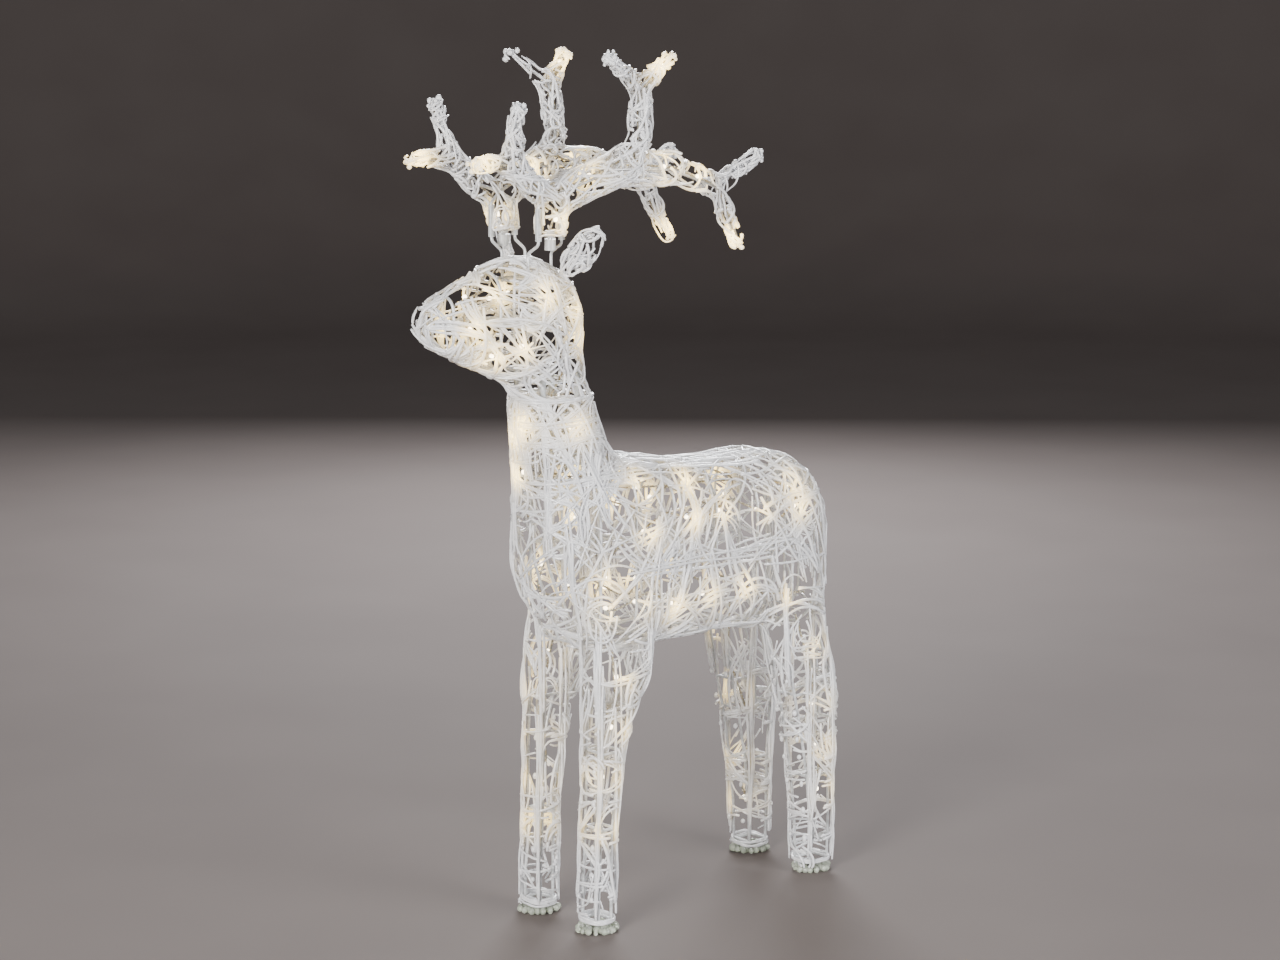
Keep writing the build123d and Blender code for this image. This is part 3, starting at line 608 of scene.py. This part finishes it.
def leg_threads(skin, rng, name, lamps, material):
    node = name + "_leg_winding"
    low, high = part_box(node)
    around = 0.16
    tubes = Tubes()
    mix = [(0.25, 5, 10), (0.45, 48, 18), (0.30, 85, 10)]
    wound(tubes, skin, rng, around * (high.z - low.z), 0.42, mix, (0.03, 0.10), 0.22, (35, 70),
          lambda owner, point: owner == node)
    beads_low, beads_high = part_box(name + "_foot_beads")
    middle = (beads_low + beads_high) / 2
    deep = (beads_high.y - beads_low.y) / 2 - 0.005
    for dx in (-1, 1):
        for dy in (-1, 1):
            corner = Vector((middle.x + dx * 0.0165, middle.y + dy * deep, 0.010))
            bundle(tubes, skin, rng, corner, (0, 0, 1), 0.30, 5, 0.0016)
            thigh = Vector((corner.x, low.y + 0.006 if dy < 0 else high.y - 0.006, 0.215))
            bundle(tubes, skin, rng, thigh, (0, 0, 1), 0.13, 5, 0.0025)
    height = 0.040
    while height < high.z - 0.02:
        ring_y = (low.y + high.y) / 2 if height > THIGH_Z else middle.y
        ring_start = Vector((middle.x + 0.03, ring_y, height))
        turn_round(tubes, skin, rng, ring_start, (0, 1, 0), around, rng.choice((1, 2, 3)), 0.0018)
        for dx in (-1, 1):
            for dy in (-1, 1):
                near = Vector((middle.x + dx * 0.02, ring_y + dy * 0.05,
                               height + rng.gauss(0, 0.0015)))
                knot, facing, _, _ = skin.tree.find_nearest(near)
                size = rng.uniform(0.0019, 0.0028)
                tubes.add_bead(knot - facing * 0.0006, (size, size, size * rng.uniform(1.0, 1.7)))
        height += rng.uniform(0.020, 0.042)
    # the thread goes round the foot hoop
    level = Vector((middle.x, middle.y, HOOP_Z))
    reach = [skin.tree.ray_cast(level, Vector(way))[3] + 0.0018 for way in ((1, 0, 0), (0, 1, 0))]
    for _ in range(5):
        ring, tilt, turn = [], rng.gauss(0, 0.0012), rng.uniform(0, 6.3)
        height = rng.uniform(0.0092, 0.0165)
        for i in range(29):
            a = turn + 2 * math.pi * i / 27
            squeeze = 0.86 + 0.14 * abs(math.sin(2 * a)) + rng.gauss(0, 0.02)
            rise = max(0.0088, height + tilt * math.cos(a) + rng.gauss(0, 0.0005))
            ring.append((middle.x + reach[0] * squeeze * math.cos(a),
                         middle.y + reach[1] * squeeze * math.sin(a), rise))
        tubes.add(smooth_path(ring, 1), THREAD_R * rng.uniform(0.8, 1.2), rng=rng, lumps=0.16)
    return tubes.piece(name + "_leg_threads", "torso", "acrylic_thread", material, lamps, (node,))


def torso_threads(skin, rng, lamps, material):
    """The trunk and neck in four pieces, each with its share of loose strands and bundles."""
    low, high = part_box("torso_winding")
    middle, seam = CENTRE_Y, high.z - 0.0006
    ribs = [(0.62, 86, 14), (0.22, 45, 16), (0.16, 8, 10)]
    tangle = [(0.4, 20, 18), (0.3, 55, 18), (0.3, 85, 12)]
    ladder = [(0.42, 8, 9), (0.33, 84, 12), (0.25, 45, 14)]
    parts = {
        "neck": (0.088, ladder, lambda p: p.z > 0.44 and p.y < middle - 0.085),
        "chest": (0.062, tangle, lambda p: p.z <= 0.44 and p.y < middle - 0.085),
        "barrel": (0.105, ribs, lambda p: middle - 0.085 <= p.y < middle + 0.085),
        "rump": (0.062, tangle, lambda p: p.y >= middle + 0.085),
    }
    for name, (area, mix, inside) in parts.items():
        tubes = Tubes()
        wound(tubes, skin, rng, area, 0.74, mix, (0.04, 0.15), 0.12, (18, 60),
              lambda owner, p: owner == "torso_winding" and p.z < seam and inside(p))
        if name == "neck":
            front, back = low.y + 0.001, middle - 0.135
            for x in (-0.030, 0.030):
                bundle(tubes, skin, rng, (x, front + 0.006, 0.545), (0, 0.05, -1), 0.17, 6, 0.002)
                bundle(tubes, skin, rng, (x, back, 0.548), (0, 0.28, -1), 0.09, 5, 0.002)
            for z in (0.5535, 0.532, 0.509, 0.470):
                turn_round(tubes, skin, rng, (0.0, front, z), (1, 0, 0), 0.27, 3, 0.0012)
        if name == "chest":
            for x in (-0.045, 0.045):
                bundle(tubes, skin, rng, (x, middle - 0.200, 0.445), (0, 0.22, -1), 0.16, 6, 0.0025)
        if name == "barrel":
            for x, z, count in ((0.0, 0.487, 6), (0.034, 0.478, 6), (-0.034, 0.478, 6),
                                (0.067, 0.375, 3), (-0.067, 0.375, 3),
                                (0.045, 0.288, 7), (-0.045, 0.288, 7)):
                bundle(tubes, skin, rng, (x, middle - 0.13, z), (0, 1, 0), 0.26, count, 0.004, 0.035)
        if name == "rump":
            for x in (-0.040, 0.040):
                bundle(tubes, skin, rng, (x, middle + 0.172, 0.425), (0, 0.05, -1), 0.16, 6, 0.003)
        tubes.piece("threads_" + name, "torso", "acrylic_thread", material, lamps,
                    ("torso_winding",) if name == "neck" else ())


def foot(rng, name, material):
    """Ring of fused drops of different sizes under the foot hoop."""
    node = name + "_foot_beads"
    low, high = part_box(node)
    middle, half = (low + high) / 2, (high - low) / 2
    tubes = Tubes()
    for count, share in ((17, 0.90), (14, 0.68), (8, 0.45)):
        for k in range(count):
            a = 2 * math.pi * (k + rng.uniform(-0.3, 0.3)) / count
            r = rng.uniform(0.0024, 0.0044)
            tall = min(r, 0.0037)
            out = share * rng.uniform(0.94, 1.06)
            tubes.add_bead((middle.x + half.x * out * math.cos(a),
                            middle.y + half.y * out * math.sin(a),
                            tall + 0.0001 + rng.uniform(0, 0.6) * (0.0074 - 2 * tall)),
                           (r * rng.uniform(0.8, 1.2), r * rng.uniform(0.8, 1.2), tall))
    return tubes.piece(name + "_foot_drops", "torso", "acrylic_beads", material, replaced=(node,))


def main():
    make_camera()
    make_studio()
    threads, beads, wire = thread_material(), bead_material(), wire_material()
    cable, lamp_mat = cable_material(), lamp_material()
    sleeve = plastic_material("clear_sleeve", (0.90, 0.92, 0.93), (0.70, 0.73, 0.75), 0.5)
    plastic = plastic_material("connector_plastic", (0.90, 0.90, 0.89), (0.74, 0.75, 0.75), 0.45)
    by_slot = {"frame_wire": wire, "lamp_cable": cable, "clear_sleeve": sleeve,
               "connector_plastic": plastic, "warm_lamp": lamp_mat,
               "acrylic_thread": threads, "acrylic_beads": beads}
    slots = {part["node"]: part["material_slot"] for part in frame["record"]["subparts"]}
    bodies = frame["record"]["behaviour"]["bodies"]
    for node, thing in frame["nodes"].items():
        thing.data.materials.clear()
        thing.data.materials.append(by_slot[slots[node]])

    lamps = {}
    for body, members in bodies.items():
        lit = [node for node in members if node.endswith("led_lamps")]
        lamps[body] = [tuple(centre) for node in lit for centre, _, _ in islands(node)]
        for node in lit:
            lamp_piece(node, body, lamp_mat)

    legs = ("front_left", "front_right", "back_left", "back_right")
    rng = random.Random(11)
    skin = Skin(["torso_winding", *(leg + "_leg_winding" for leg in legs)], rng, 0.05)
    torso_threads(skin, rng, lamps["torso"], threads)
    for leg in legs:
        leg_threads(skin, rng, leg, lamps["torso"], threads)
        foot(rng, leg, beads)

    rng = random.Random(23)
    head = Skin(["head_winding"], rng, 0.04)
    tubes = Tubes()
    wound(tubes, head, rng, 0.066, 1.05, [(0.4, 10, 12), (0.3, 82, 14), (0.3, 45, 18)],
          (0.03, 0.12), 0.14, (30, 80), lambda owner, p: p.z > 0.5575)
    for k in range(5):
        turn_round(tubes, head, rng, (0.0, 0.0, 0.5582 + 0.0012 * k), (1, 0, 0), 0.25, 1, 0.0006)
    tubes.piece("head_threads", "head", "acrylic_thread", threads, lamps["head"], ("head_winding",))
    for side in ("left", "right"):
        node = f"ear_{side}_winding"
        rng = random.Random(31)
        ear, tubes = Skin([node], rng, 0.02, FINE_STEP), Tubes()
        wound(tubes, ear, rng, 0.0045, 0.9, [(0.6, 5, 12), (0.4, 60, 25)], (0.03, 0.06), 0.5, (70, 140))
        tubes.piece(f"ear_{side}_threads", "head", "acrylic_thread", threads, lamps["head"], (node,))
        node = f"antler_{side}_winding"
        rng = random.Random(47 + len(side))
        antler, tubes = Skin([node], rng, 0.016, FINE_STEP), Tubes()
        wound(tubes, antler, rng, 0.055, 0.92, [(0.42, 6, 9), (0.30, 82, 12), (0.28, 45, 18)],
              (0.03, 0.08), 0.30, (65, 130), groups=(1, 1, 1, 2))
        tip_drops(tubes, antler, rng)
        tubes.piece(f"antler_{side}_threads", f"antler_{side}", "acrylic_thread", threads,
                    lamps[f"antler_{side}"], (node,))


main()
